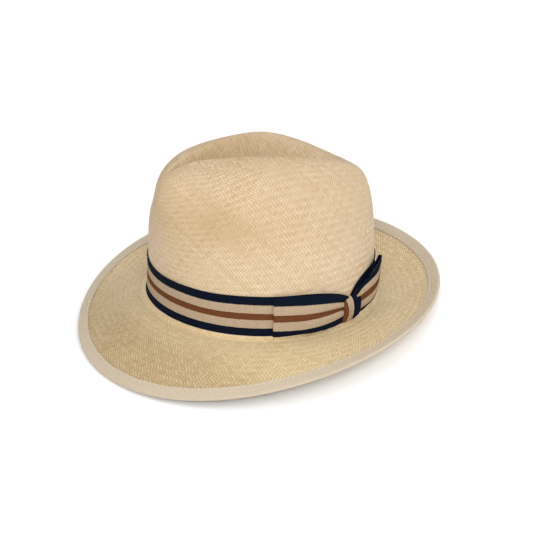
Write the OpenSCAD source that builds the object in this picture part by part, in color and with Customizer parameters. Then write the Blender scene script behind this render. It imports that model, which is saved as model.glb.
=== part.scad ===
// Woven straw fedora with a striped grosgrain band, a side bow and a bound brim.
// Front of the hat is -Y, the wearer's left (bow side) is +X, up is +Z.
// The hat lies as it rests on a table: on the front and the rear of its brim.
// Angles around the head run from the front (0) through the wearer's left (90).

/* [Head opening] */
// Length of the crown where it meets the brim, front to back, outside the straw
crown_length = 205; // [190:1:225]
// Width of the crown where it meets the brim, outside the straw
crown_width = 180; // [160:1:190]
// Thickness of the woven straw
straw_t = 1.4; // [1:0.1:2.5]

/* [Crown] */
// Height of the crown above the brim, at its middle and before the dent
crown_height = 135; // [100:1:140]
// How much higher the crown is at the front than at the middle
crown_slope = 5; // [0:1:25]
// How square the crown's shoulder is: 2 is an ellipse
shoulder_power = 5.1; // [3:0.1:7]
// Part of the half width lost at the top of the crown
side_taper = 0.45; // [0:0.01:0.45]
// Part of the half length gained at the top of the front
front_flare = 0.34; // [-0.1:0.01:0.4]
// Part of the half length gained at the top of the rear
rear_flare = -0.04; // [-0.1:0.01:0.2]
// Depth of the teardrop dent in the top
dent_depth = 31; // [5:1:32]
// Half width of the teardrop dent
dent_half_width = 43.5; // [20:0.5:44]
// Half length of the teardrop dent
dent_half_length = 117; // [60:1:120]
// How far behind the middle the dent is centred
dent_shift = 7; // [0:1:20]
// How much the dent narrows toward the front
dent_taper = 0.46; // [0.1:0.02:0.5]
// Depth of the finger pinch on each side of the front
pinch_depth = 6; // [0:0.5:10]
// Angle from the front to each pinch
pinch_angle = 28; // [20:1:50]
// Height of the pinches as a part of the crown height
pinch_level = 0.8; // [0.6:0.01:0.9]

/* [Brim] */
// Width of the brim at the front and the rear, seen from above
brim_width = 58; // [45:1:70]
// How much narrower the brim is at its sides
side_trim = 4; // [0:0.5:8]
// How far the front edge dips below the crown's foot
front_drop = 39; // [10:1:45]
// How far the side edges dip below the crown's foot
side_drop = -1.5; // [-5:0.5:15]
// How far the rear edge rises above the crown's foot
rear_rise = 20; // [-5:1:25]
// How much the front dip is gathered toward the middle of the front
dip_focus = 0.9; // [0:0.1:3]
// How much the brim's slope quickens toward its edge: 1 is straight
brim_snap = 1.4; // [1:0.1:2]
// Hollow of the brim between its foot and its curled edge, at the sides and rear
brim_hollow = 3; // [0:0.5:6]
// Radius of the bend where the crown meets the brim
foot_radius = 3; // [2:0.5:6]

/* [Binding] */
// Width of the ribbon that shows on each face of the brim
binding_w = 9.5; // [6:0.5:15]
// Thickness of the binding ribbon
binding_t = 0.6; // [0.4:0.1:1]
// Number of stitches through the binding
stitch_count = 180; // [60:4:240]

/* [Hat band] */
// Height of the striped ribbon around the crown
band_h = 35; // [20:1:45]
// Thickness of the striped ribbon
band_t = 0.6; // [0.4:0.1:1]
// Gap between layers of cloth, leather and straw
layer_gap = 0.15; // [0.05:0.05:0.3]

/* [Bow] */
// Angle of the front fold of the bow
bow_start = 59; // [45:1:70]
// Angle of the knot that gathers the bow
knot_angle = 102; // [85:1:110]
// Angle of the rear end of the bow
bow_end = 132; // [125:1:150]
// Height of the gathered ribbon at the knot
gather_h = 17; // [12:1:22]
// Height of the gathered ribbon's lower edge above the crown's foot
gather_low = 4; // [1:0.5:6]
// Thickness of the folded loops at their fullest
loop_t = 5; // [2:0.5:8]

/* [Sweatband] */
// Height of the leather sweatband
sweat_h = 36; // [28:1:42]
// Thickness of the leather
sweat_t = 1.1; // [0.8:0.1:1.6]
// Number of stitches that hold the sweatband
sweat_stitches = 120; // [60:4:180]

/* [Hidden] */

half_l = crown_length / 2;
half_w = crown_width / 2;

// Grid of the round pieces: steps around the head, and rings on each part of the straw.
steps = 72;
top_rings = 11;
wall_rings = 8;
bend_rings = 3;
brim_rings = 7;

// Where the shoulder's superellipse is at 45 degrees, as a part of each semi-axis.
shoulder = pow(0.5, 1 / shoulder_power);
// Part of the crown height over which the dent fades out down the shoulder.
dent_fade = 0.4;
// The dent's outline, and where it is widest on its length from -1 at the front to 1.
function dent_outline(s) = sqrt(1 - s * s) * (1 - dent_taper * (1 - s));
dent_widest = (sqrt(pow(1 - dent_taper, 2) + 8 * pow(dent_taper, 2)) - 1 + dent_taper)
    / (4 * dent_taper);
// The dent's section: how flat the floor is and how gently the sides run out.
dent_floor = 2.2;
dent_sides = 1.6;
// Spread of a pinch around the head in degrees, and up the crown as a part of its height.
pinch_spread = 18;
pinch_reach = 0.2;
// Thread of every seam, and the reed cord in the sweatband's lower edge.
thread_w = 0.5;
reed_r = 1;

// Edge height as a mean, a front-to-rear part and a sides part.
edge_sides = ((rear_rise - front_drop) / 2 + side_drop) / 2;
edge_mean = edge_sides - side_drop;
edge_tip = -(front_drop + rear_rise) / 2;
// The brim's width, and the part of it where the bend ends and the brim starts level.
function width(th) = brim_width - side_trim * pow(sin(th), 2);
function brim_start(th) = foot_radius / width(th);

function unit(v) = v / norm(v);
function clamp(v, low, high) = min(max(v, low), high);
function wrapped(a) = a > 180 ? a - 360 : a;
function mix(a, b, t) = a + (b - a) * t;

// Outline of the head opening and its outward direction at an angle.
function oval(th) = [half_w * sin(th), -half_l * cos(th), 0];
function outward(th) = unit([half_l * sin(th), -half_w * cos(th), 0]);

// Crown: a superellipse, tapered and flared, with two pinches and a teardrop dent.
function bump(v, spread) = exp(-v * v / (spread * spread));
function pinch(th, zeta) =
    pinch_depth * bump(zeta - pinch_level, pinch_reach)
    * (bump(wrapped(th) - pinch_angle, pinch_spread)
    + bump(wrapped(th) + pinch_angle, pinch_spread));
function flare(th) = mix(rear_flare, front_flare, (1 + cos(th)) / 2);
function rise(th) = crown_height + crown_slope * cos(th);
function dent_part(x, s) =
    let (
        half = dent_half_width * dent_outline(s) / dent_outline(dent_widest),
        part = abs(x) / max(half, 0.5)
    )
    pow(max(1 - pow(part, dent_floor), 0), dent_sides) * (1 - s * s);
function dent(x, y) = dent_depth * dent_part(x, clamp((y - dent_shift) / dent_half_length, -1, 1));
function crown_point(rho, zeta, th) =
    let (
        squeeze = 1 - pinch(th, zeta) / half_l,
        x = half_w * rho * (1 - side_taper * zeta * zeta) * sin(th) * squeeze,
        y = -half_l * rho * (1 + flare(th) * zeta * zeta) * cos(th) * squeeze,
        height = crown_height - crown_slope * y / half_l,
        fade = clamp((zeta - 1 + dent_fade) / dent_fade, 0, 1)
    )
    [x, y, height * zeta - dent(x, y) * fade];

// Brim: height at a part t of its width, and the bend that joins it to the crown.
function edge_z(th) =
    edge_mean + edge_tip * cos(th) + edge_sides * cos(2 * th) - dip_focus * cos(3 * th);
function hollow(th) = brim_hollow * (1 - pow((1 + cos(th)) / 2, 2));
function brim_z(t, th) = edge_z(th) * pow(t, brim_snap) - hollow(th) * 4 * t * (1 - t);
function brim_point(t, th) =
    oval(th) + outward(th) * width(th) * t + [0, 0, brim_z(t, th)];
function bend_point(v, th) =
    let (s = foot_radius * (1 - cos(90 * v)))
    oval(th) + outward(th) * s
    + [0, 0, brim_z(s / width(th), th) + foot_radius * (1 - sin(90 * v))];

// The straw's upper face: m is 0 to 1 on the top, to 2 on the wall, to 3 on the bend
// and to 4 at the brim's edge.
function foot_part(th) = foot_radius / rise(th);
function top_point(s, th) =
    let (rho = shoulder * s)
    crown_point(rho, pow(1 - pow(rho, shoulder_power), 1 / shoulder_power), th);
function wall_point(s, th) =
    let (zeta = mix(shoulder, foot_part(th), s))
    crown_point(pow(1 - pow(zeta, shoulder_power), 1 / shoulder_power), zeta, th);
function skin(m, th) =
    m <= 1 ? top_point(m, th)
    : m <= 2 ? wall_point(m - 1, th)
    : m <= 3 ? bend_point(m - 2, th)
    : brim_point(mix(brim_start(th), 1, m - 3), th);

// Directions on the skin, and a point at a distance d above it.
step_m = 0.01;
step_th = 0.5;
function down_skin(m, th) =
    unit(skin(min(m + step_m, 4), th) - skin(max(m - step_m, 0.02), th));
function along_skin(m, th) = unit(skin(m, th + step_th) - skin(m, th - step_th));
function skin_normal(m, th) = unit(cross(down_skin(m, th), along_skin(m, th)));
function above(m, th, d) = skin(m, th) + skin_normal(m, th) * d;

// A point at a height on the crown's wall; below the bend it goes straight down.
function wall_m(h, th) =
    1 + (shoulder - h / rise(th)) / (shoulder - foot_part(th));
function on_wall(h, th, d) =
    above(wall_m(max(h, foot_radius), th), th, d) + [0, 0, min(h - foot_radius, 0)];
// The same, but below the bend it follows the brim outward, as cloth laid on it does.
function on_crown(h, th, d) =
    h >= foot_radius ? on_wall(h, th, d)
    : above(2 + (1 - h / foot_radius) * 0.6, th, d);

// A point near the brim's edge: inward along the surface, and d above its upper face.
function near_edge(inward, th, d) =
    let (
        flat = norm([down_skin(4, th)[0], down_skin(4, th)[1]]),
        t = 1 - max(inward, 0) * flat / width(th),
        m = 3 + (t - brim_start(th)) / (1 - brim_start(th))
    )
    above(m, th, d) + down_skin(4, th) * max(-inward, 0);

// Rest on a table: turned about X until the rear of the brim's belly meets it.
under = straw_t + layer_gap + binding_t;
front_foot = near_edge(-layer_gap - binding_t, 0, -under);
rest_tilt = min([
    for (th = [100 : 10 : 180])
    for (m = [2.8 : 0.1 : 4])
    let (p = above(m, th, -straw_t))
    atan2(p[2] - front_foot[2], p[1] - front_foot[1])
]);
function turned(p) = [
    p[0],
    p[1] * cos(rest_tilt) + p[2] * sin(rest_tilt),
    p[2] * cos(rest_tilt) - p[1] * sin(rest_tilt)
];
// The origin is under the middle of the brim's length, on the table.
lift = -turned(front_foot)[2];
function end_reach(th) = [
    for (d = [layer_gap, -straw_t]) turned(near_edge(-layer_gap - binding_t, th, d))[1]
];
shift = -(min(end_reach(0)) + max(end_reach(180))) / 2;
function resting(p) = turned(p) + [0, shift, lift];

function angles(a, b, count) = [for (i = [0 : count]) mix(a, b, i / count)];
around = [for (i = [0 : steps - 1]) 360 * i / steps];
function joined(lists) = [for (l = lists) each l];

// A closed solid between an outer and an inner grid of points. Each row runs down or
// outward; the rows follow one another around the head and close up if ring is true.
module slab(outer, inner, ring = false) {
    rows = len(outer);
    cols = len(outer[0]);
    n = rows * cols;
    last = ring ? rows - 1 : rows - 2;
    skins = [
        for (i = [0 : last])
        for (j = [0 : cols - 2])
        let (a = i * cols + j, b = ((i + 1) % rows) * cols + j)
        each [
            [a, b, b + 1], [a, b + 1, a + 1],
            [n + a, n + b + 1, n + b], [n + a, n + a + 1, n + b + 1]
        ]
    ];
    rims = [
        for (i = [0 : last])
        let (
            a = i * cols, b = ((i + 1) % rows) * cols,
            c = a + cols - 1, d = b + cols - 1
        )
        each [
            [a, n + a, n + b], [a, n + b, b],
            [c, n + d, n + c], [c, d, n + d]
        ]
    ];
    ends = ring ? [] : [
        for (j = [0 : cols - 2])
        let (a = j, b = (rows - 1) * cols + j)
        each [
            [a, a + 1, n + a + 1], [a, n + a + 1, n + a],
            [b, n + b + 1, b + 1], [b, n + b, n + b + 1]
        ]
    ];
    points = [for (p = joined(concat(outer, inner))) resting(p)];
    polyhedron(points, concat(skins, rims, ends));
}

// A strip of cloth on the crown: its height range and its two distances from the
// straw are functions of the angle, given as lists with one entry for each angle.
module strip(angle_list, lows, highs, d_in, d_out, cols) {
    rows = len(angle_list);
    grid = function (d) [
        for (i = [0 : rows - 1])
        [for (j = [0 : cols]) on_crown(mix(highs[i], lows[i], j / cols), angle_list[i], d[i])]
    ];
    slab(grid(d_out), grid(d_in));
}

// A stitch lying on a surface at point p, along unit vector t, with normal n.
module stitch(p, t, n, length) {
    yaw = atan2(t[1], t[0]);
    pitch = asin(t[2]);
    side = [-sin(yaw), cos(yaw), 0];
    lifted = [-sin(pitch) * cos(yaw), -sin(pitch) * sin(yaw), cos(pitch)];
    translate([0, shift, lift]) rotate([-rest_tilt, 0, 0]) translate(p)
        rotate([0, -pitch, yaw]) rotate([atan2(-(n * side), n * lifted), 0, 0])
            cube([length, thread_w, thread_w], center = true);
}

// One woven piece: crown and brim.
module straw_body() {
    ms = concat(
        [for (k = [1 : top_rings]) k / top_rings],
        [for (k = [1 : wall_rings]) 1 + k / wall_rings],
        [for (k = [1 : bend_rings]) 2 + k / bend_rings],
        [for (k = [1 : brim_rings]) 3 + k / brim_rings]
    );
    cols = len(ms);
    n = steps * cols;
    top = skin(0, 0);
    upper = [for (th = around) for (m = ms) skin(m, th)];
    lower = [for (th = around) for (m = ms) above(m, th, -straw_t)];
    points = [
        for (p = concat(upper, lower, [top, top - [0, 0, straw_t]])) resting(p)
    ];
    faces = [
        for (i = [0 : steps - 1])
        let (r = i * cols, s = ((i + 1) % steps) * cols, e = cols - 1)
        each concat(
            [[2 * n, s, r], [2 * n + 1, n + r, n + s]],
            [[r + e, n + s + e, n + r + e], [r + e, s + e, n + s + e]],
            [
                for (j = [0 : cols - 2])
                let (a = r + j, b = s + j)
                each [
                    [a, b, b + 1], [a, b + 1, a + 1],
                    [n + a, n + b + 1, n + b], [n + a, n + a + 1, n + b + 1]
                ]
            ]
        )
    ];
    color("burlywood") polyhedron(points, faces);
}

// Ribbon folded over the brim's edge.
module brim_binding() {
    g = layer_gap;
    t = binding_t;
    down = -straw_t - g;
    outside = [[binding_w, g + t], [binding_w / 2, g + t], [0, g + t], [-g - t, g],
        [-g - t, down], [0, down - t], [binding_w / 2, down - t], [binding_w, down - t]];
    inside = [[binding_w, g], [binding_w / 2, g], [0, g], [-g, 0],
        [-g, -straw_t], [0, down], [binding_w / 2, down], [binding_w, down]];
    ring = function (section) [
        for (th = around) [for (q = section) near_edge(q[0], th, q[1])]
    ];
    color("linen") slab(ring(outside), ring(inside), ring = true);
}

// Thread through the binding: one row on the upper face and one on the lower.
module binding_stitches() {
    inset = binding_w - 1.5;
    upper_d = layer_gap + binding_t + thread_w / 2;
    lower_d = -straw_t - upper_d;
    color("ivory")
        for (i = [0 : stitch_count - 1])
        for (d = [upper_d, lower_d]) {
            th = 360 * (i + 0.5) / stitch_count;
            ahead = near_edge(inset, th + step_th, d);
            behind = near_edge(inset, th - step_th, d);
            stitch((ahead + behind) / 2, unit(ahead - behind), skin_normal(3.85, th), 3.2);
        }
}

// How far a point under the bow is gathered toward the knot, from 0 at the bow's ends.
function gathered(t) = 1 - pow(1 - pow(t, 2.6), 0.7);
function bow_part(th, end) =
    th < bow_start || th > end ? 0
    : th < knot_angle ? (th - bow_start) / (knot_angle - bow_start)
    : (end - th) / (end - knot_angle);

// Striped ribbon around the crown's foot, gathered and joined under the bow.
module hatband_ribbon() {
    levels = [1, 0.7, 0.4, 0.13, 0.06, 0];
    ring = function (d) [
        for (th = around)
        let (part = gathered(bow_part(th, bow_end - 8)))
        [
            for (level = levels)
            let (low = mix(1, gather_low + 1, part), high = mix(band_h + 1, gather_high - 1, part))
            on_crown(mix(low, high, level), th, d)
        ]
    ];
    color("midnightblue")
        slab(ring(layer_gap + band_t), ring(layer_gap), ring = true);
}

// Small stitches that tack the ribbon's upper edge to the crown.
module band_tacks() {
    d = layer_gap + band_t + thread_w / 2;
    color("black")
        for (th = [150 : 45 : 375]) {
            h = band_h - 0.5;
            stitch(on_wall(h, th, d), along_skin(wall_m(h, th), th),
                skin_normal(wall_m(h, th), th), 2);
        }
}

// Distances from the straw of the bow's layers.
band_d = layer_gap + band_t;
backing_d = band_d + layer_gap + band_t;
loop_d = backing_d + layer_gap;
gather_high = gather_low + gather_h;

// Flat ribbon under the gathered middle, which the bow is sewn to.
module bow_backing() {
    list = angles(knot_angle - 16, knot_angle + 14, 8);
    same = function (v) [for (th = list) v];
    color("midnightblue")
        strip(list, same(gather_low + 2), same(gather_high - 2), same(band_d + layer_gap),
            same(backing_d), 3);
}

// Height range and fullness of a loop at part t of its way from its end to the knot.
function loop_low(t) = mix(0.3, gather_low, pow(t, 1.6));
function loop_high(t) = mix(band_h + 1.3, gather_high, gathered(t));
function fullness(t) = mix(1.4, 2.4, t) + loop_t * pow(sin(180 * t), 1.4) * 0.7;

// Front half of the bow: a flat pleat at its fold, gathered under the knot.
module bow_front_loop() {
    parts = angles(0, 1, 14);
    color("midnightblue") strip(
        [for (t = parts) mix(bow_start, knot_angle - 0.3, t)],
        [for (t = parts) loop_low(t)], [for (t = parts) loop_high(t)],
        [for (t = parts) loop_d], [for (t = parts) loop_d + fullness(t)], 6);
}

// How far the rear half of the bow stands off the crown, and its height range, at part
// t of its way from the knot to its end.
rear_off = 1.6;
rear_low = 15;
rear_high = 42;
function stand_off(t) = rear_off * t * t;
// Part of the rear half's length where it comes out from under the knot.
knot_side = 0.76;

// Rear half of the bow, fanning out from the knot and standing off the crown.
module bow_rear_loop() {
    parts = angles(0, 1, 12);
    tail_d = loop_d + band_t + layer_gap;
    color("midnightblue") strip(
        [for (t = parts) mix(knot_angle + 0.3, bow_end, t)],
        [for (t = parts) mix(gather_low, rear_low, pow(t, 1.5))],
        [for (t = parts) mix(gather_high, rear_high, pow(t, 0.75))],
        [for (t = parts) tail_d + stand_off(t)],
        [for (t = parts) tail_d + stand_off(t) + fullness(min((1 - t) / knot_side, 1))], 6);
}

// Cut end of the ribbon under the rear loop, close to the crown.
tail_low = 10;
tail_high = 37;
module bow_under_tail() {
    parts = angles(0, 1, 10);
    color("midnightblue") strip(
        [for (t = parts) mix(knot_angle + 0.3, bow_end - 3, t)],
        [for (t = parts) mix(gather_low + 1, tail_low, t)],
        [for (t = parts) mix(gather_high - 2, tail_high, t)],
        [for (t = parts) loop_d + stand_off(t) / 2],
        [for (t = parts) loop_d + stand_off(t) / 2 + band_t], 4);
}

// Short ribbon wrapped over the gathered middle of the bow.
module bow_knot() {
    cols = 10;
    knot_half = 7;
    knot_rise = 4.6;
    half_h = gather_h / 2 + 2.5;
    middle = (gather_low + gather_high) / 2;
    dome = function (h) knot_rise * sqrt(max(1 - pow((h - middle) / half_h, 2), 0));
    grid = function (extra) [
        for (th = angles(knot_angle - knot_half, knot_angle + knot_half, 4))
        [
            for (j = [0 : cols])
            let (h = middle + half_h * cos(180 * j / cols))
            on_crown(h + extra * cos(180 * j / cols), th, loop_d + dome(h) + extra)
        ]
    ];
    color("tan") slab(grid(band_t + 0.2), grid(0));
}

// Leather band inside the crown.
sweat_d = -straw_t - layer_gap;
sweat_low = -0.4;
module sweatband() {
    heights = [sweat_h, sweat_h * 0.6, sweat_h * 0.25, foot_radius, sweat_low];
    ring = function (d) [for (th = around) [for (h = heights) on_wall(h, th, d)]];
    color("saddlebrown") slab(ring(sweat_d), ring(sweat_d - sweat_t), ring = true);
}

// Covered cord along the sweatband's lower edge.
module sweatband_reed() {
    sides = 8;
    middle = sweat_d - sweat_t / 2;
    tube = [
        for (th = around)
        [
            for (k = [0 : sides - 1])
            let (a = 360 * k / sides)
            on_wall(sweat_low - reed_r - 0.05 + reed_r * cos(a), th, middle + reed_r * sin(a))
        ]
    ];
    n = steps * sides;
    faces = [
        for (i = [0 : steps - 1])
        for (k = [0 : sides - 1])
        let (
            a = i * sides + k, b = i * sides + (k + 1) % sides,
            c = (a + sides) % n, d = (b + sides) % n
        )
        each [[a, c, d], [a, d, b]]
    ];
    color("saddlebrown") polyhedron([for (p = joined(tube)) resting(p)], faces);
}

// Thread that sews the sweatband to the straw, on the leather's inner face.
module sweatband_stitches() {
    d = sweat_d - sweat_t - thread_w / 2;
    color("ivory")
        for (i = [0 : sweat_stitches - 1]) {
            th = 360 * (i + 0.5) / sweat_stitches;
            stitch(on_wall(2, th, d), along_skin(2, th), -skin_normal(2, th), 3);
        }
}

// A flat patch inside the sweatband, between two angles and two heights.
module inner_patch(th_a, th_b, low, high, thickness) {
    list = angles(th_a, th_b, 6);
    face = sweat_d - sweat_t - layer_gap;
    grid = function (d) [
        for (th = list) [for (h = [high, mix(low, high, 0.5), low]) on_wall(h, th, d)]
    ];
    slab(grid(face), grid(face - thickness));
}

// Grosgrain tape over the sweatband's join at the rear.
module sweatband_join_tape() {
    color("dimgray") inner_patch(176.5, 183.5, 4, sweat_h - 1, 0.5);
}

// Blank size label on the sweatband.
module size_label() {
    color("white") inner_patch(158, 168, 8, 20, 0.3);
}

// Blank woven care label tucked behind the sweatband, standing up above it.
module care_label() {
    list = angles(196, 208, 6);
    grid = function (d) [
        for (th = list)
        [for (h = [sweat_h + 22, sweat_h + 12, sweat_h + 1]) on_wall(h, th, d)]
    ];
    color("white") slab(grid(sweat_d), grid(sweat_d - 0.4));
}

straw_body();
brim_binding();
binding_stitches();
hatband_ribbon();
band_tacks();
bow_backing();
bow_front_loop();
bow_rear_loop();
bow_under_tail();
bow_knot();
sweatband();
sweatband_reed();
sweatband_stitches();
sweatband_join_tape();
size_label();
care_label();
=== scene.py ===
"""Looks of the woven straw fedora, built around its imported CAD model.

Front is -Y, the wearer's left (the bow's side) is +X and up is +Z. Shapes are worked
out in millimetres in the hat's own frame, with Z = 0 at the crown's foot, and then laid
down as the hat rests on a table. Angles around the head run from the front (0) through
the wearer's left (90)."""

import math

import bpy
import numpy as np
from mathutils import Matrix, Vector


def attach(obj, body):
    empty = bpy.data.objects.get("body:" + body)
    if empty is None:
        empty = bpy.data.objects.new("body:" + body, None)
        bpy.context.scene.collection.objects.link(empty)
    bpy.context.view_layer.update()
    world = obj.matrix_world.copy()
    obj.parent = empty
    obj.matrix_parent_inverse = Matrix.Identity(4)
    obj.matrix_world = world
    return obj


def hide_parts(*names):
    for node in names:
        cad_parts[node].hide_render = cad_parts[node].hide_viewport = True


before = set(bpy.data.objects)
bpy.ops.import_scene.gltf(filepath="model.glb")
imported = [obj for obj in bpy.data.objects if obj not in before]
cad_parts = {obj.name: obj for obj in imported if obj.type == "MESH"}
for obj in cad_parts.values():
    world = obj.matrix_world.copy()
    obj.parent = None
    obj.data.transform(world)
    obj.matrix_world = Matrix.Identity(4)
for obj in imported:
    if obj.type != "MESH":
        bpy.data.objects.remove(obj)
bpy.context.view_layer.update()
rng = np.random.default_rng(7)

# ---------------------------------------------------------------- sizes, as in the CAD
HALF_L, HALF_W, STRAW_T = 102.5, 90.0, 1.4
CROWN_H, CROWN_SLOPE, POWER = 135.0, 5.0, 5.1
SIDE_TAPER, FRONT_FLARE, REAR_FLARE = 0.45, 0.34, -0.04
DENT_DEPTH, DENT_HALF_W, DENT_HALF_L, DENT_SHIFT, DENT_TAPER = 31.0, 43.5, 117.0, 7.0, 0.46
DENT_FADE, DENT_FLOOR, DENT_SIDES = 0.4, 2.2, 1.6
PINCH_DEPTH, PINCH_ANGLE, PINCH_LEVEL, PINCH_SPREAD, PINCH_REACH = 6.0, 28.0, 0.8, 18.0, 0.2
BRIM_W, SIDE_TRIM, FRONT_DROP, SIDE_DROP, REAR_RISE = 58.0, 4.0, 39.0, -1.5, 20.0
DIP_FOCUS, BRIM_SNAP, BRIM_HOLLOW, FOOT_R = 0.9, 1.4, 3.0, 3.0
BINDING_W, BINDING_T, STITCHES, SEAM_INSET = 9.5, 0.6, 180, 1.5
LAP_START, LAP_END = 190.6, 195.2
BAND_H, BAND_FOOT, RIBBON_W, RIBBON_T, GAP = 35.0, 1.0, 37.5, 0.6, 0.15
TACK_ANGLES = np.array([150.0, 195.0, 240.0, 285.0, 330.0, 375.0])
BOW_START, KNOT, BOW_END = 58.8, 102.0, 132.0
GATHER_LOW, GATHER_HIGH, LOOP_T = 4.0, 21.0, 5.0
REAR_OFF, REAR_LOW, REAR_HIGH, TAIL_LOW, TAIL_HIGH = 1.6, 15.0, 41.5, 10.0, 37.0
BACKING_FRONT, BACKING_REAR, BACKING_LOW, BACKING_HIGH = 16.0, 14.0, 5.0, 19.0
KNOT_HALF_H, KNOT_HALF_ANGLE, KNOT_RISE = 11.0, 7.0, 5.0
SWEAT_H, SWEAT_T, SWEAT_STITCHES, SWEAT_LOW, REED_R = 36.0, 1.1, 120, -0.4, 1.0
REST_TILT, REST_SHIFT, REST_LIFT = math.radians(8.49157), 1.10146, 17.9498

SHOULDER = 0.5 ** (1 / POWER)
EDGE_SIDES = ((REAR_RISE - FRONT_DROP) / 2 + SIDE_DROP) / 2
EDGE_MEAN = EDGE_SIDES - SIDE_DROP
EDGE_TIP = -(FRONT_DROP + REAR_RISE) / 2
BAND_D = GAP + RIBBON_T
LOOP_D = BAND_D + 2 * GAP + RIBBON_T
SWEAT_D = -STRAW_T - GAP
# Steps to either side of a point, along m and around the head, between which a slope is
# taken.
STEP_M, STEP_TH = 0.01, 0.5


# ---------------------------------------------------------------- the hat's shape
def mix(a, b, t):
    return a + (b - a) * t


def unit(v):
    return v / np.maximum(np.linalg.norm(v, axis=-1, keepdims=True), 1e-12)


def stack(x, y, z):
    return np.stack(np.broadcast_arrays(x, y, z), -1)


def bump(v, spread):
    return np.exp(-((v / spread) ** 2))


def smooth(v):
    v = np.clip(v, 0, 1)
    return v * v * (3 - 2 * v)


def turn(th):
    """The angle from -180 to 180."""
    return (th + 180) % 360 - 180


def oval(th):
    t = np.radians(th)
    return stack(HALF_W * np.sin(t), -HALF_L * np.cos(t), 0 * t)


def outward(th):
    t = np.radians(th)
    return unit(stack(HALF_L * np.sin(t), -HALF_W * np.cos(t), 0 * t))


def dent_outline(s):
    return np.sqrt(1 - s * s) * (1 - DENT_TAPER * (1 - s))


def dent(x, y):
    s = np.clip((y - DENT_SHIFT) / DENT_HALF_L, -1, 1)
    root = math.hypot(1 - DENT_TAPER, math.sqrt(8) * DENT_TAPER)
    widest = (root - 1 + DENT_TAPER) / (4 * DENT_TAPER)
    half = DENT_HALF_W * dent_outline(s) / dent_outline(widest)
    across = np.clip(1 - (np.abs(x) / np.maximum(half, 0.5)) ** DENT_FLOOR, 0, None) ** DENT_SIDES
    return DENT_DEPTH * across * (1 - s * s)


def crown_point(rho, zeta, th):
    t = np.radians(th)
    pinch = PINCH_DEPTH * bump(zeta - PINCH_LEVEL, PINCH_REACH)
    pinch = pinch * (
        bump(turn(th) - PINCH_ANGLE, PINCH_SPREAD) + bump(turn(th) + PINCH_ANGLE, PINCH_SPREAD)
    )
    squeeze = 1 - pinch / HALF_L
    flare = mix(REAR_FLARE, FRONT_FLARE, (1 + np.cos(t)) / 2)
    x = HALF_W * rho * (1 - SIDE_TAPER * zeta**2) * np.sin(t) * squeeze
    y = -HALF_L * rho * (1 + flare * zeta**2) * np.cos(t) * squeeze
    height = CROWN_H - CROWN_SLOPE * y / HALF_L
    fade = np.clip((zeta - 1 + DENT_FADE) / DENT_FADE, 0, 1)
    return stack(x, y, height * zeta - dent(x, y) * fade)


def edge_z(th):
    t = np.radians(th)
    return (
        EDGE_MEAN + EDGE_TIP * np.cos(t) + EDGE_SIDES * np.cos(2 * t) - DIP_FOCUS * np.cos(3 * t)
    )


def brim_z(t, th):
    hollow = BRIM_HOLLOW * (1 - ((1 + np.cos(np.radians(th))) / 2) ** 2)
    return edge_z(th) * np.maximum(t, 0) ** BRIM_SNAP - hollow * 4 * t * (1 - t)


def brim_width(th):
    return BRIM_W - SIDE_TRIM * np.sin(np.radians(th)) ** 2


def brim_point(t, th):
    out = brim_width(th) * t
    return oval(th) + outward(th) * out[..., None] + stack(0, 0, brim_z(t, th))


def bend_point(v, th):
    s = FOOT_R * (1 - np.cos(math.pi / 2 * v))
    z = brim_z(s / brim_width(th), th) + FOOT_R * (1 - np.sin(math.pi / 2 * v))
    return oval(th) + outward(th) * s[..., None] + stack(0, 0, z)


def foot_part(th):
    return FOOT_R / (CROWN_H + CROWN_SLOPE * np.cos(np.radians(th)))


def skin(m, th):
    """The straw's upper face: m is 0 to 1 on the top, to 2 on the wall, to 3 on the
    bend and to 4 at the brim's edge."""
    m, th = np.broadcast_arrays(np.asarray(m, float), np.asarray(th, float))
    rho = SHOULDER * np.clip(m, 0, 1)
    top = crown_point(rho, (1 - rho**POWER) ** (1 / POWER), th)
    zeta = mix(SHOULDER, foot_part(th), np.clip(m - 1, 0, 1))
    wall = crown_point((1 - zeta**POWER) ** (1 / POWER), zeta, th)
    bend = bend_point(np.clip(m - 2, 0, 1), th)
    start = FOOT_R / brim_width(th)
    brim = brim_point(mix(start, 1, np.clip(m - 3, 0, 1)), th)
    k = m[..., None]
    return np.where(k <= 1, top, np.where(k <= 2, wall, np.where(k <= 3, bend, brim)))


def down_skin(m, th):
    further, nearer = np.minimum(m + STEP_M, 4), np.maximum(m - STEP_M, 2 * STEP_M)
    return unit(skin(further, th) - skin(nearer, th))


def along_skin(m, th):
    return unit(skin(m, th + STEP_TH) - skin(m, th - STEP_TH))


def normal(m, th):
    return unit(np.cross(down_skin(m, th), along_skin(m, th)))


def above(m, th, d):
    m, th, d = np.broadcast_arrays(*(np.asarray(v, float) for v in (m, th, d)))
    return skin(m, th) + normal(m, th) * d[..., None]


def on_crown(h, th, d):
    """A point at height h on the crown's wall and d above the straw; below the bend it
    follows the brim outward, to bend_share of the bend at the crown's foot."""
    bend_share = 0.6
    h, th, d = np.broadcast_arrays(*(np.asarray(v, float) for v in (h, th, d)))
    rise = CROWN_H + CROWN_SLOPE * np.cos(np.radians(th))
    foot = foot_part(th)
    m = 1 + (SHOULDER - np.maximum(h, FOOT_R) / rise) / (SHOULDER - foot)
    return above(np.where(h >= FOOT_R, m, 2 + (1 - h / FOOT_R) * bend_share), th, d)


def on_wall(h, th, d):
    """The same, but below the bend it goes straight down."""
    h, th, d = np.broadcast_arrays(*(np.asarray(v, float) for v in (h, th, d)))
    return on_crown(np.maximum(h, FOOT_R), th, d) + stack(0, 0, np.minimum(h - FOOT_R, 0))


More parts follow.
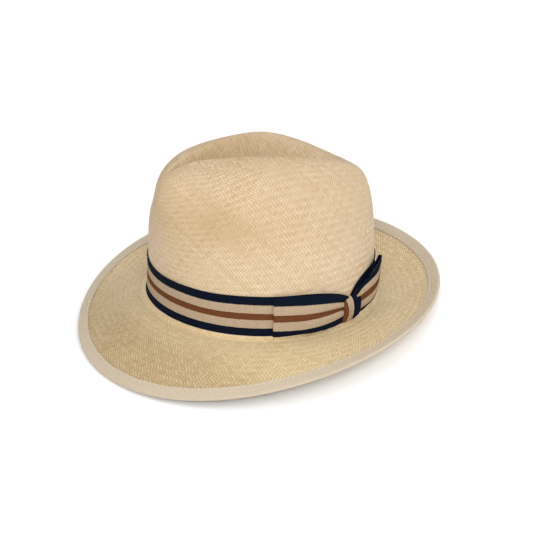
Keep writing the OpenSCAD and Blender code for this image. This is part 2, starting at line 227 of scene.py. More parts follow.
def near_edge(inward, th, d):
    """A point inward from the brim's edge along the surface, and d above its face."""
    inward, th, d = np.broadcast_arrays(*(np.asarray(v, float) for v in (inward, th, d)))
    slope = down_skin(4 + 0 * th, th)
    flat = np.linalg.norm(slope[..., :2], axis=-1)
    t, start = 1 - np.maximum(inward, 0) * flat / brim_width(th), FOOT_R / brim_width(th)
    m = 3 + (t - start) / (1 - start)
    return above(m, th, d) + slope * np.maximum(-inward, 0)[..., None]


def resting(p):
    """From the hat's frame in millimetres to the row frame in metres."""
    c, s = math.cos(REST_TILT), math.sin(REST_TILT)
    x, y, z = p[..., 0], p[..., 1], p[..., 2]
    return np.stack([x, y * c + z * s + REST_SHIFT, z * c - y * s + REST_LIFT], -1) / 1000


# A wave's start is drawn over about a full turn, in radians.
FULL_TURN = 6.28


def waves(th, size, lowest, highest):
    """A seeded sum of waves around the head, about size high."""
    total = 0 * th
    for k in range(lowest, highest + 1):
        total = total + rng.normal() * np.sin(np.radians(k * th) + rng.uniform(0, FULL_TURN))
    return size * total / math.sqrt(highest - lowest + 1)


def run_along(path):
    """The distance along a path from its start to each of its points."""
    return np.append(0, np.cumsum(np.linalg.norm(np.diff(path, axis=0), axis=-1)))


# ---------------------------------------------------------------- meshes
def slab(outer, inner, uvs, ring=False, poles=None):
    """A closed solid between two grids of points. uvs maps a UV map's name to a grid of
    coordinates, with one more row than the points have where ring closes them up. poles
    are the two points that close the middle instead of a rim."""
    rows, cols = outer.shape[:2]
    n = rows * cols
    spans, tracks = np.arange(rows if ring else rows - 1), np.arange(cols - 1)
    families = [
        ([(0, 0, 0), (0, 0, 1), (0, 1, 1), (0, 1, 0)], spans, tracks),
        ([(1, 0, 0), (1, 1, 0), (1, 1, 1), (1, 0, 1)], spans, tracks),
        ([(1, 0, 0), (1, 1, 0), (0, 1, 0), (0, 0, 0)], spans, [cols - 1]),
    ]
    if poles is None:
        families += [([(0, 1, 0), (1, 1, 0), (1, 0, 0), (0, 0, 0)], spans, [0])]
    if not ring:
        families += [
            ([(1, 0, 0), (1, 0, 1), (0, 0, 1), (0, 0, 0)], [0], tracks),
            ([(0, 0, 1), (1, 0, 1), (1, 0, 0), (0, 0, 0)], [rows - 1], tracks),
        ]
    faces, corners = [], []
    for family, i, j in families:
        i, j = (v.ravel() for v in np.meshgrid(i, j, indexing="ij"))
        faces.append(
            np.stack([a * n + (i + di) % rows * cols + j + dj for a, di, dj in family], -1)
        )
        corners.append(
            np.stack([np.stack([i + di, j + dj], -1) for _, di, dj in family], -2)
        )
    faces, corners = np.concatenate(faces), np.concatenate(corners)
    points = np.concatenate([outer.reshape(-1, 3), inner.reshape(-1, 3)])
    loops = {k: g[corners[..., 0], corners[..., 1]].reshape(-1, 2) for k, g in uvs.items()}
    faces = faces.tolist()
    if poles is not None:
        points = np.concatenate([points, poles])
        extra = {k: [] for k in uvs}
        for i in range(rows):
            a, b = i * cols, (i + 1) % rows * cols
            faces += [[a, b, 2 * n], [n + b, n + a, 2 * n + 1]]
            for k, g in uvs.items():
                middle = g[:, 0].mean(0)
                extra[k] += [g[i, 0], g[i + 1, 0], middle, g[i + 1, 0], g[i, 0], middle]
        loops = {k: np.concatenate([loops[k], extra[k]]) for k in uvs}
    return points, faces, loops


def cloth(middle, thickness, uvs):
    """A slab of even thickness about one open grid of points."""
    across = np.gradient(middle, axis=1)
    along = np.gradient(middle, axis=0)
    half = unit(np.cross(across, along)) * thickness / 2
    return slab(middle + half, middle - half, uvs)


def tubes(paths, ups, radius, sides=6):
    """Closed tubes along many short paths, each with its own up direction."""
    count, n = paths.shape[:2]
    along = unit(np.gradient(paths, axis=1))
    side = unit(np.cross(along, np.broadcast_to(ups[:, None], paths.shape)))
    up = np.cross(side, along)
    angle = 2 * math.pi * np.arange(sides) / sides
    # Their ends are rounded off.
    taper = radius * np.sqrt(np.clip(1 - np.linspace(-0.98, 0.98, n) ** 8, 0, 1))
    ring = side[:, :, None] * np.cos(angle)[:, None] + up[:, :, None] * np.sin(angle)[:, None]
    points = paths[:, :, None] + ring * taper[:, None, None]
    faces, loops = [], []
    for c in range(count):
        base = c * n * sides
        for i in range(n - 1):
            for k in range(sides):
                a, b = base + i * sides + k, base + i * sides + (k + 1) % sides
                faces.append([a, a + sides, b + sides, b])
                u0, u1, v0, v1 = i / n, (i + 1) / n, k / sides, (k + 1) / sides
                loops += [(u0, v0), (u1, v0), (u1, v1), (u0, v1)]
        faces.append([base + k for k in range(sides)])
        faces.append([base + (n - 1) * sides + k for k in reversed(range(sides))])
        loops += [(0, 0)] * (2 * sides)
    return points.reshape(-1, 3), faces, {"uv": np.array(loops, float)}


SHARP = math.radians(50)


def piece(name, parts, material, slot, replaces):
    """One object from slabs or tubes, which rides on the root body."""
    points, faces, loops, start = [], [], {}, 0
    for p, f, uv in parts:
        points.append(resting(p))
        faces += [[v + start for v in face] for face in f]
        for k in uv:
            loops.setdefault(k, []).append(uv[k])
        start += len(p)
    mesh = bpy.data.meshes.new(name)
    mesh.from_pydata(np.concatenate(points), [], faces)
    for k in loops:
        layer = mesh.uv_layers.new(name=k)
        layer.data.foreach_set("uv", np.concatenate(loops[k]).astype(np.float32).ravel())
    mesh.shade_smooth()
    mesh.set_sharp_from_angle(angle=SHARP)
    mesh.materials.append(material)
    made = bpy.data.objects.new(name, mesh)
    bpy.context.scene.collection.objects.link(made)
    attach(made, "root")
    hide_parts(*replaces)
    return made


# ---------------------------------------------------------------- materials
class Look:
    """A procedural material under construction."""

    def __init__(self, name):
        self.material = bpy.data.materials.new(name)
        self.material.use_nodes = True
        self.tree = self.material.node_tree
        self.surface = self.tree.nodes["Principled BSDF"]

    def put(self, socket, value):
        if isinstance(value, bpy.types.NodeSocket):
            self.tree.links.new(value, socket)
        elif value is not None:
            socket.default_value = value

    def node(self, kind, values=(), **settings):
        made = self.tree.nodes.new(kind)
        for key, value in settings.items():
            setattr(made, key, value)
        for key, value in dict(values).items():
            self.put(made.inputs[key], value)
        return made

    def math(self, operation, a, b=None, c=None, clamp=False):
        made = self.node("ShaderNodeMath", operation=operation, use_clamp=clamp)
        for socket, value in zip(made.inputs, (a, b, c)):
            self.put(socket, value)
        return made.outputs[0]

    def times(self, a, b):
        return self.math("MULTIPLY", a, b)

    def plus(self, a, b):
        return self.math("ADD", a, b)

    def minus(self, a, b):
        return self.math("SUBTRACT", a, b)

    def hump(self, value):
        """Rises from 0 to 1 and falls back while value goes from 0 to 1."""
        return self.math("SINE", self.times(value, math.pi), clamp=True)

    def blend(self, factor, a, b, mode="MIX"):
        made = self.node("ShaderNodeMix", data_type="RGBA", blend_type=mode)
        self.put(made.inputs[0], factor)
        self.put(made.inputs[6], a)
        self.put(made.inputs[7], b)
        return made.outputs[2]

    def filtered(self, factor, tone, r, g, b):
        """tone seen through a coloured filter, as far as factor says."""
        return self.blend(factor, tone, self.blend(1.0, tone, (r, g, b, 1.0), "MULTIPLY"))

    def between(self, factor, a, b):
        made = self.node("ShaderNodeMix", data_type="FLOAT")
        self.put(made.inputs[0], factor)
        self.put(made.inputs[2], a)
        self.put(made.inputs[3], b)
        return made.outputs[0]

    def ramp(self, factor, low, high):
        """0 below low, 1 above high, smooth between."""
        made = self.node("ShaderNodeMapRange", interpolation_type="SMOOTHSTEP")
        for key, value in (("Value", factor), ("From Min", low), ("From Max", high)):
            self.put(made.inputs[key], value)
        return made.outputs[0]

    def uv(self, name):
        source = self.node("ShaderNodeUVMap", uv_map=name).outputs[0]
        split = self.node("ShaderNodeSeparateXYZ", {"Vector": source})
        return split.outputs[0], split.outputs[1]

    def position(self):
        """Where a point is, in the row frame's metres."""
        return self.node("ShaderNodeTexCoord").outputs["Object"]

    def vector(self, x, y, z=0.0):
        return self.node("ShaderNodeCombineXYZ", {"X": x, "Y": y, "Z": z}).outputs[0]

    def random(self, x, y=0.0):
        return self.node(
            "ShaderNodeTexWhiteNoise", {"Vector": self.vector(x, y)}, noise_dimensions="3D"
        ).outputs["Value"]

    def noise(self, scale, detail=2.0, vector=None):
        """Cloudy noise whose features are about 1/scale metres, or units of vector."""
        vector = vector or self.position()
        return self.node(
            "ShaderNodeTexNoise", {"Vector": vector, "Scale": scale, "Detail": detail}
        ).outputs["Fac"]

    def finish(self, colour, height, depth, roughness=0.7, low=None, high=None, specular=0.25):
        """Colour, relief of a depth in metres, and roughness that height may vary."""
        self.put(self.surface.inputs["Base Color"], colour)
        relief = self.node(
            "ShaderNodeBump", {"Height": height, "Distance": depth, "Strength": 1.0}
        )
        self.put(self.surface.inputs["Normal"], relief.outputs[0])
        if low is not None:
            roughness = self.between(height, low, high)
        self.put(self.surface.inputs["Roughness"], roughness)
        self.surface.inputs["Specular IOR Level"].default_value = specular
        return self.material


def srgb(r, g, b):
    """A colour from its 8-bit display values."""
    linear = [((v / 255 + 0.055) / 1.055) ** 2.4 if v > 10 else v / 255 / 12.92 for v in (r, g, b)]
    return (*linear, 1.0)


STRAW_DEEP, STRAW_LIGHT = srgb(194, 170, 139), srgb(207, 186, 158)
STRAW_TURNED, STRAW_BLEACHED = srgb(176, 146, 106), srgb(232, 214, 186)
STRAW_AGED, STRAND_AGED = srgb(178, 142, 98), srgb(178, 140, 92)
STRAW_CLOUD, STRAW_FIBRE, STRAW_SHADE = srgb(200, 176, 132), srgb(182, 152, 110), srgb(146, 106, 66)
# Colours of painted shade: on the crown's top, on its darker floats, and at the pinches.
STRAW_TOP_SHADE, STRAW_TOP_GRAIN_SHADE, STRAW_PINCH_SHADE = srgb(168, 140, 94), srgb(128, 98, 60), srgb(172, 146, 98)


def straw_look():
    """Split straw woven on the bias, each strand over two and under two. The UV maps wall
    and top count strands: one spreads around the wall and brim, the other lies on the
    top. place holds m, which is 1 at the shoulder, 2 at the wall's foot, 3 where the brim
    starts and 4 at its edge, and how much painted shade the pinches get."""
    look = Look("straw_weave")
    wall_a, wall_b = look.uv("wall")
    top_a, top_b = look.uv("top")
    place, pinch_shade = look.uv("place")
    join = look.between(look.noise(60.0), 0.76, 0.92)
    on_wall_part = look.math("GREATER_THAN", place, join)
    a = look.between(on_wall_part, top_a, wall_a)
    b = look.between(on_wall_part, top_b, wall_b)
    # Strands aren't laid perfectly straight: they sway, and shake over a shorter length.
    for scale_a, scale_b, size in ((20.0, 17.0, 1.2), (130.0, 150.0, 0.9)):
        a = look.plus(a, look.times(look.noise(scale_a, 1.0), size))
        b = look.plus(b, look.times(look.noise(scale_b, 1.0), size))
    ia, ib = look.math("FLOOR", a), look.math("FLOOR", b)
    fa, fb = look.math("FRACT", a), look.math("FRACT", b)
    # Each strand passes over two others, one further along than its neighbour does.
    order = look.math("FLOORED_MODULO", look.minus(ia, ib), 4.0)
    a_over = look.math("LESS_THAN", order, 1.5)
    across = look.between(a_over, fb, fa)
    along = look.between(a_over, fa, fb)
    second = look.math("FLOORED_MODULO", look.plus(order, a_over), 2.0)
    run = look.times(look.plus(along, second), 0.5)
    sides = look.hump(across)
    arch = look.math("POWER", sides, 0.5)
    height = look.times(arch, look.math("MULTIPLY_ADD", look.hump(run), 0.5, 0.5))
    # strand is one random value for each strand, and single one for each float.
    strand = look.between(a_over, look.random(ib, 17.0), look.random(ia, 5.0))
    single = look.random(
        look.between(a_over, look.minus(ia, second), ia),
        look.between(a_over, ib, look.minus(ib, second)),
    )
    fibre_at = look.vector(look.times(across, 9.0), run, look.times(single, 40.0))
    fibre = look.noise(1.0, 3.0, fibre_at)
    tone = look.blend(strand, STRAW_DEEP, STRAW_LIGHT)
    # Strands that run the other way catch less light.
    tone = look.blend(look.times(a_over, 0.3), tone, STRAW_TURNED)
    on_brim = look.ramp(place, 1.9, 2.6)
    pale = look.times(look.ramp(single, 0.5, 1.0), look.math("MULTIPLY_ADD", on_brim, 0.08, 0.12))
    tone = look.blend(pale, tone, STRAW_BLEACHED)
    tone = look.blend(look.times(look.ramp(single, 0.1, 0.0), 0.25), tone, STRAW_AGED)
    tone = look.blend(look.times(look.ramp(strand, 0.07, 0.0), 0.3), tone, STRAND_AGED)
    cloud = look.ramp(look.noise(14.0, 3.0), 0.3, 0.75)
    tone = look.blend(look.times(cloud, 0.25), tone, STRAW_CLOUD)
    tone = look.blend(look.times(fibre, 0.15), tone, STRAW_FIBRE)
    # The sides of each strand fall into shade between its neighbours.
    depth = look.math("MULTIPLY_ADD", on_brim, 0.15, 0.6)
    tone = look.blend(look.times(look.ramp(sides, 0.8, 0.0), depth), tone, STRAW_SHADE)
    # Painted shade darkens and yellows the crown's top, around the dent.
    tone = look.blend(look.times(look.ramp(place, 0.95, 0.5), 0.35), tone, STRAW_TOP_SHADE)
    # Darker floats add grain to the top, and also paint shade over it.
    top_grain_and_shade = look.times(look.ramp(single, 0.7, 0.1), look.ramp(place, 1.0, 0.7))
    tone = look.blend(look.times(top_grain_and_shade, 0.12), tone, STRAW_TOP_GRAIN_SHADE)
    # Painted light makes the straw lighter from the lower wall down.
    tone = look.filtered(look.ramp(place, 1.3, 1.6), tone, 1.05, 1.08, 1.11)
    # Painted shade darkens the pinches, where their hollows fall into shade.
    pinch_shade_share = look.times(pinch_shade, look.between(look.noise(45.0), 0.3, 0.9))
    # The pinches' painted shade is blended in here.
    tone = look.blend(pinch_shade_share, tone, STRAW_PINCH_SHADE)
    # Painted shade darkens the front of the brim.
    ahead = look.node("ShaderNodeSeparateXYZ", {"Vector": look.position()}).outputs["Y"]
    brim_front_shade = look.times(look.ramp(ahead, -0.06, -0.14), look.ramp(place, 3.0, 3.5))
    tone = look.filtered(brim_front_shade, tone, 0.74, 0.71, 0.66)
    # The brim is a little paler than the crown.
    tone = look.filtered(look.ramp(place, 2.6, 3.2), tone, 1.06, 1.08, 0.98)
    # Painted light brightens the foot's bend, which stands out under the band.
    bend = look.times(look.ramp(place, 2.0, 2.4), look.ramp(place, 3.09, 3.0))
    tone = look.filtered(bend, tone, 1.3, 1.27, 1.2)
    look.surface.inputs["Sheen Weight"].default_value = 0.08
    return look.finish(tone, look.plus(height, look.times(fibre, 0.15)), 0.0005, low=0.72, high=0.5)


def ribbon_look(name, stripes, pitch=0.9):
    """Grosgrain: ribs across the ribbon. UVs are millimetres along and 0 to 1 across.
    stripes are (up to, colour) pairs across it."""
    warp_turns, fleck_rows, soft_edge = 240.0, 70.0, 0.004
    look = Look(name)
    u, v = look.uv("uv")
    ribs = look.math("DIVIDE", u, pitch)
    rib_id = look.math("FLOOR", ribs)
    arch = look.hump(look.math("FRACT", ribs))
    # Warp threads run along the ribbon over the ribs.
    warp = look.math("ABSOLUTE", look.math("SINE", look.times(v, warp_turns)))
    shake = look.times(look.minus(look.random(rib_id, 3.0), 0.5), 0.006)
    at = look.plus(v, shake)
    tone = stripes[0][1]
    for (edge, _), (_, colour) in zip(stripes, stripes[1:]):
        tone = look.blend(look.ramp(at, edge - soft_edge, edge + soft_edge), tone, colour)
    # The grooves between the ribs are in shade, and the ribs are worn a little pale.
    tone = look.filtered(look.times(look.ramp(arch, 0.55, 0.0), 0.45), tone, 0.35, 0.33, 0.33)
    flecks = look.random(rib_id, look.math("FLOOR", look.times(v, fleck_rows)))
    worn = look.times(look.ramp(flecks, 0.6, 1.0), 0.3)
    tone = look.blend(worn, tone, look.blend(1.0, tone, tone, "SCREEN"))
    cloud = look.times(look.ramp(look.noise(28.0, 3.0), 0.35, 0.8), 0.12)
    tone = look.filtered(cloud, tone, 0.7, 0.68, 0.66)
    height = look.times(arch, look.math("MULTIPLY_ADD", warp, 0.25, 0.75))
    return look.finish(tone, height, 0.00018, low=0.95, high=0.8, specular=0.06)


def thread_look(name, light, dark):
    """Twisted thread: turns along its length."""
    look = Look(name)
    u, v = look.uv("uv")
    twist = look.math("FRACT", look.math("MULTIPLY_ADD", u, 9.0, v))
    arch = look.hump(twist)
    fuzz = look.noise(2500.0, 2.0)
    # Painted shade darkens the thread in the grooves between its turns.
    tone = look.blend(look.ramp(arch, 0.1, 0.8), dark, light)
    tone = look.blend(look.times(fuzz, 0.25), tone, dark)
    return look.finish(tone, arch, 0.0001, low=0.8, high=0.6)


LEATHER_DEEP, LEATHER_LIGHT = srgb(112, 70, 42), srgb(140, 92, 58)
LEATHER_RUBBED, LEATHER_GROOVE = srgb(74, 44, 26), srgb(62, 36, 22)


def leather_look():
    """Brown leather with a pebbled grain, darker along the upper edge, which is rubbed."""
    look = Look("sweatband_leather")
    cells = look.node(
        "ShaderNodeTexVoronoi",
        {"Vector": look.position(), "Scale": 900.0},
        feature="DISTANCE_TO_EDGE",
    )
    grain = look.ramp(cells.outputs["Distance"], 0.0, 0.22)
    _, v = look.uv("uv")
    patch = look.noise(35.0, 4.0)
    tone = look.blend(look.ramp(patch, 0.3, 0.7), LEATHER_DEEP, LEATHER_LIGHT)
    tone = look.blend(look.times(look.ramp(v, 0.9, 1.0), 0.6), tone, LEATHER_RUBBED)
    # Painted shade darkens the grooves of the grain.
    tone = look.blend(look.times(look.ramp(grain, 0.5, 0.0), 0.5), tone, LEATHER_GROOVE)
    creases = look.times(look.noise(220.0, 3.0), 0.6)
    return look.finish(tone, look.plus(grain, creases), 0.00012, low=0.6, high=0.4)


def tape_look(name, light, dark, pitch):
    """Plain woven tape or label cloth, UVs in millimetres."""
    look = Look(name)
    u, v = look.uv("uv")
    x = look.math("SINE", look.times(u, math.pi / pitch))
    y = look.math("SINE", look.times(v, math.pi / pitch))
    height = look.math("MULTIPLY_ADD", look.times(x, y), 0.5, 0.5)
    # Painted shade darkens the weave where its threads dip.
    tone = look.blend(look.ramp(height, 0.1, 0.7), dark, light)
    tone = look.blend(look.times(look.noise(60.0, 3.0), 0.2), tone, dark)
    return look.finish(tone, height, 0.0001, low=0.9, high=0.7)


NAVY, BEIGE, BROWN = srgb(7, 15, 30), srgb(168, 147, 123), srgb(98, 58, 34)
STRIPES = [(0.21, NAVY), (0.42, BEIGE), (0.58, BROWN), (0.79, BEIGE), (1.0, NAVY)]
IVORY = srgb(195, 180, 158)
straw_mat = straw_look()
stripe_mat = ribbon_look("striped_grosgrain", STRIPES)
binding_mat = ribbon_look("ivory_grosgrain", [(1.0, IVORY)], pitch=0.7)
light_thread = thread_look("ivory_thread", srgb(236, 226, 204), srgb(180, 160, 128))
dark_thread = thread_look("navy_thread", srgb(28, 34, 52), srgb(10, 12, 22))
leather_mat = leather_look()
tape_mat = tape_look("join_tape", srgb(120, 108, 92), srgb(64, 56, 48), 0.7)
label_mat = tape_look("label_cloth", srgb(236, 233, 226), srgb(188, 184, 176), 0.4)


# ---------------------------------------------------------------- woven straw
# The strands' pitch on the wall, and how many times as many there are on the brim and the
# top. The brim's strands start at BRIM_FROM in m, above the foot and under the hat band.
STRAND, MORE_ON_BRIM, MORE_ON_TOP, BRIM_FROM = 2.1, 1.3, 1.25, 1.9
# Where the painted shade at each pinch lies: around the head, and in m.
PINCH_SHADE_ANGLE, PINCH_SHADE_WIDTH, PINCH_SHADE_M, PINCH_SHADE_HEIGHT = PINCH_ANGLE + 9.0, 28.0, 1.25, 0.13


def weave_maps(around, ms):
    """Strand counts over the straw for its top, and for its wall and brim, where the
    rows widen evenly with the distance from the head."""
    th, m = np.meshgrid(np.append(around, 360.0), ms, indexing="ij")
    p = skin(m, th)
    ahead, behind = skin(m, th + STEP_TH), skin(m, th - STEP_TH)
    radius = np.linalg.norm(ahead - behind, axis=-1) / math.radians(2 * STEP_TH)
    run = np.linalg.norm(np.diff(p, axis=1), axis=-1)
    mean = (radius[:, 1:] + radius[:, :-1]) / 2
    down = np.zeros(m.shape)
    down[:, 1:] = np.cumsum(run / np.maximum(mean, 5.0), axis=1)
    foot = np.searchsorted(ms, 2.0)
    down = down - down[:, foot : foot + 1]
    diagonal = math.sqrt(2) * STRAND
    per_turn = 2 * math.pi * HALF_L / diagonal
    strands = np.where(m > BRIM_FROM, round(per_turn * MORE_ON_BRIM), round(per_turn))
    along = th / 360 * strands
    fall = down / (2 * math.pi) * strands
    wall = np.stack([along + fall, along - fall], -1)
    flat = p[..., :2] / diagonal * MORE_ON_TOP
    top = np.stack([flat[..., 0] + flat[..., 1], flat[..., 0] - flat[..., 1]], -1)
    # The pinches get painted shade, standing in for the shade in their hollows.
    sides = bump(turn(th) - PINCH_SHADE_ANGLE, PINCH_SHADE_WIDTH) + bump(turn(th) + PINCH_SHADE_ANGLE, PINCH_SHADE_WIDTH)
    pinch_shade = sides * bump(m - PINCH_SHADE_M, PINCH_SHADE_HEIGHT)
    return {"wall": wall, "top": top, "place": np.stack([m, pinch_shade], -1)}


def straw_body():
    around = np.arange(288) * 1.25
    ms = np.concatenate([
        np.linspace(0.03, 1, 40), np.linspace(1, 2, 34)[1:],
        np.linspace(2, 3, 9)[1:], np.linspace(3, 4, 36)[1:],
    ])
    th, m = np.meshgrid(around, ms, indexing="ij")
    # Hand blocking leaves the straw a little uneven.
    out = np.clip(m - 3, 0, 1)
    on_wall_part = smooth(m - 0.6) * (1 - smooth((m - 1.6) * 4))
    uneven = waves(th, size=0.35, lowest=3, highest=9) * on_wall_part
    on_brim = out * (1 - smooth((out - 0.7) * 5))
    uneven = uneven + waves(th, size=0.3, lowest=5, highest=16) * on_brim
    upper, lower = above(m, th, uneven), above(m, th, uneven - STRAW_T)
    top = skin(0.0, 0.0)
    poles = np.array([top, top - [0, 0, STRAW_T]])
    part = slab(upper, lower, weave_maps(around, ms), ring=True, poles=poles)
    piece("straw_shell", [part], straw_mat, "straw", ["straw_body"])


straw_body()


# ---------------------------------------------------------------- brim binding
def edge_length(around):
    return run_along(near_edge(0.0, np.append(around, 360.0), 0.0))


def fold_section(width, d):
    """The binding's section at a distance d from the straw: inward and upward parts."""
    reach = np.linspace(width, 0.3, 9)
    radius = STRAW_T / 2 + d
    angle = np.linspace(0, math.pi, 9)[1:-1]
    inward = np.concatenate([reach, -radius * np.sin(angle) + 0.2, reach[::-1]])
    over, under = np.full(len(reach), d), np.full(len(reach), -STRAW_T - d)
    up = np.concatenate([over, -STRAW_T / 2 + radius * np.cos(angle), under])
    return inward, up


def binding_rows(th, extra, inset):
    """The binding's outer and inner faces, extra above the straw and inset from its full
    width. The stitches pull it down."""

    def layer(d, pull):
        inward, up = fold_section(BINDING_W - inset, d)
        ins, rows = np.meshgrid(inward, th)
        pucker = bump((rows * STITCHES / 360) % 1 - 0.5, 0.22)
        stitched = bump(ins - (BINDING_W - SEAM_INSET), 1.6)
        sign = np.where(up > -STRAW_T / 2, 1, -1)
        edge = smooth((ins - 6) / 4) * edge_waves(rows)
        return near_edge(ins + edge, rows, up - sign * (pull * pucker * stitched))

    return layer(GAP + extra + BINDING_T, 0.22), layer(GAP + extra, 0.1)


wave_parts = [(k, rng.normal(), rng.uniform(0, FULL_TURN)) for k in range(9, 40)]


def edge_waves(th):
    """How far the binding's sewn edges wander from an even width."""
    total = sum(w * np.sin(np.radians(k * th) + s) for k, w, s in wave_parts)
    return 0.25 * total / math.sqrt(len(wave_parts))


def brim_binding():
    around = np.arange(900) * 0.4
    outer, inner = binding_rows(around, extra=0.0, inset=0.0)
    run = edge_length(around)
    v = np.linspace(0, 1, outer.shape[1])
    uv = np.stack(np.meshgrid(run, v, indexing="ij"), -1)
    ring = slab(outer, inner, {"uv": uv}, ring=True)
    # The ribbon's end is turned under and laps over its start at the rear.
    lap = np.linspace(LAP_START, LAP_END, 13)
    outer, inner = binding_rows(lap, extra=BINDING_T + 0.08, inset=0.15)
    run = np.interp(lap, np.append(around, 360.0), run) + 0.3
    uv = np.stack(np.meshgrid(run, v, indexing="ij"), -1)
    parts = [ring, slab(outer, inner, {"uv": uv})]
    return piece("binding", parts, binding_mat, "binding", ["brim_binding"])


def stitch_paths(centres, alongs, ups, length, rise):
    """Short stitches that arch up out of the cloth, as paths of seven points."""
    x = np.linspace(-1, 1, 7)
    hump = rise * (1 - x**4) - rise * 0.6
    return (
        centres[:, None]
        + alongs[:, None] * (x * length / 2)[:, None]
        + ups[:, None] * hump[:, None]
    )


def binding_stitches():
    th = (np.arange(STITCHES) + 0.5) * 360 / STITCHES
    parts = []
    for d, flip in ((GAP + BINDING_T, 1), (-STRAW_T - GAP - BINDING_T, -1)):
        inset = BINDING_W - SEAM_INSET + rng.normal(0, 0.12, len(th))
        ahead, behind = near_edge(inset, th + STEP_TH, d), near_edge(inset, th - STEP_TH, d)
        up = normal(np.full(len(th), 3.85), th) * flip
        centres = (ahead + behind) / 2 + up * 0.1
        paths = stitch_paths(centres, unit(ahead - behind), up, length=3.0, rise=0.35)
        parts.append(tubes(paths, up, radius=0.24))
    return piece("binding_thread", parts, light_thread, "thread", ["binding_stitches"])


binding = brim_binding()
binding_thread = binding_stitches()


# ---------------------------------------------------------------- hat band
def gathered(t):
    """How far a point under the bow is gathered, from 0 at the bow's ends."""
    return 1 - (1 - np.clip(t, 0, 1) ** 2.6) ** 0.7


def bow_part(th, end):
    """0 away from the bow, rising to 1 at the knot."""
    front = (th - BOW_START) / (KNOT - BOW_START)
    rear = (end - th) / (end - KNOT)
    return np.where((th < BOW_START) | (th > end), 0, np.where(th < KNOT, front, rear))


def hatband():
    around = np.arange(480) * 0.75
    levels = np.linspace(1, 0, 15)
    th, level = np.meshgrid(around, levels, indexing="ij")
    part = gathered(bow_part(th, BOW_END - 8))
    low = mix(BAND_FOOT, GATHER_LOW + 1, part)
    high = mix(BAND_H + BAND_FOOT, GATHER_HIGH - 1, part)
    # Its edges stand off a little, and the upper one isn't quite level.
    slack = 0.25 + waves(th, size=0.12, lowest=3, highest=14)
    slack = slack * np.abs(2 * level - 1) ** 3
    uneven = waves(th, size=0.15, lowest=4, highest=11) * (level > 0.5)
    heights = mix(low, high, level) + uneven
    outer = on_crown(heights, th, GAP + RIBBON_T + slack)
    inner = on_crown(heights, th, GAP + slack)
    run = run_along(on_crown(15.0, np.append(around, 360.0), 1.0))
    uv = np.stack(np.meshgrid(run, levels, indexing="ij"), -1)
    part = slab(outer, inner, {"uv": uv}, ring=True)
    return piece("hat_band", [part], stripe_mat, "striped_ribbon", ["hatband_ribbon"])


def band_tacks():
    h, th = BAND_H - 0.5, TACK_ANGLES
    up = unit(on_wall(h, th, 2.0) - on_wall(h, th, 1.0))
    along = unit(on_wall(h, th + STEP_TH, 1.0) - on_wall(h, th - STEP_TH, 1.0))
    centres = on_wall(h, th, GAP + RIBBON_T + 0.4)
    paths = stitch_paths(centres, along, up, length=2.0, rise=0.3)
    part = tubes(paths, up, radius=0.22)
    return piece("tacks", [part], dark_thread, "dark_thread", ["band_tacks"])


band = hatband()
tacks = band_tacks()


# ---------------------------------------------------------------- bow
def fullness(t):
    """How far the bow's outer layer stands out at part t from its end."""
    return mix(1.4, 2.4, t) + LOOP_T * np.sin(math.pi * np.clip(t, 0, 1)) ** 1.4 * 0.7


def loop_sheet(at, inner_d, outer_d, low, high, end_turn, crease, tuck, tilt):
    """A ribbon that comes from the knot under itself, folds at the loop's end and goes
    back over to the knot. at gives the angle around the head at part t from the end, and
    tuck how much less of the height the middle stripe takes there."""
    tip = 0.02
    t_in = np.linspace(1, tip, 22)
    t_out = np.linspace(tip, 1, 56)
    turn_rows = np.linspace(0, math.pi, 9)[1:-1]
    w = np.linspace(0, 1, 41)
    t = np.concatenate([t_in, tip + 0 * turn_rows, t_out])
    over = np.concatenate([0 * t_in, (1 - np.cos(turn_rows)) / 2, 1 + 0 * t_out])
    past = np.concatenate([0 * t_in, np.sin(turn_rows), 0 * t_out])
    ts, ws = np.meshgrid(t, w, indexing="ij")
    overs, pasts = (np.meshgrid(v, w, indexing="ij")[0] for v in (over, past))
    squeeze = gathered(ts)
    fold = bump(ws - 0.5, 0.1)
    pleats = bump(ws - 0.24, 0.06) + bump(ws - 0.77, 0.06)
    place = ws + tuck(ts) * np.sin(2 * math.pi * ws)
    heights = mix(high(ts), low(ts), place)
    outer = outer_d(ts) + tilt(ts, ws)
    # The gathered ribbon sinks in along its middle and two pleats, and its edges turn in.
    outer = outer - crease * smooth(ts * 1.5 - 0.35) * 3.4 * fold - 1.1 * squeeze * pleats
    outer = outer - (1.3 * squeeze + 1.6 * np.sin(math.pi * ts)) * np.abs(2 * ws - 1) ** 4
    inner = inner_d(ts) + tilt(ts, ws) * 0.9
    gap = np.maximum(outer - inner, RIBBON_T + 0.2)
    d = inner + gap * overs
    angle = at(ts) + end_turn * pasts
    points = on_crown(heights, angle, d + RIBBON_T / 2)
    run = run_along(points[:, len(w) // 2])
    uv = np.stack(np.meshgrid(run, 1 - w, indexing="ij"), -1)
    return cloth(points, RIBBON_T, {"uv": uv}), float(run[-1])


def front_loop():
    part, length = loop_sheet(
        at=lambda t: mix(BOW_START + 0.3, KNOT - 0.4, t),
        inner_d=lambda t: LOOP_D + 0 * t,
        outer_d=lambda t: LOOP_D + np.maximum(fullness(t) - RIBBON_T, 0.8),
        low=lambda t: mix(-1.2, GATHER_LOW, np.clip(t, 0, 1) ** 1.6),
        high=lambda t: mix(BAND_H + 1.3, GATHER_HIGH, gathered(t)),
        end_turn=-0.35,
        crease=1.0,
        tuck=lambda t: 0.09 * gathered(t),
        tilt=lambda t, w: 0 * t,
    )
    made = piece("bow_front", [part], stripe_mat, "striped_ribbon", ["bow_front_loop"])
    return made, length


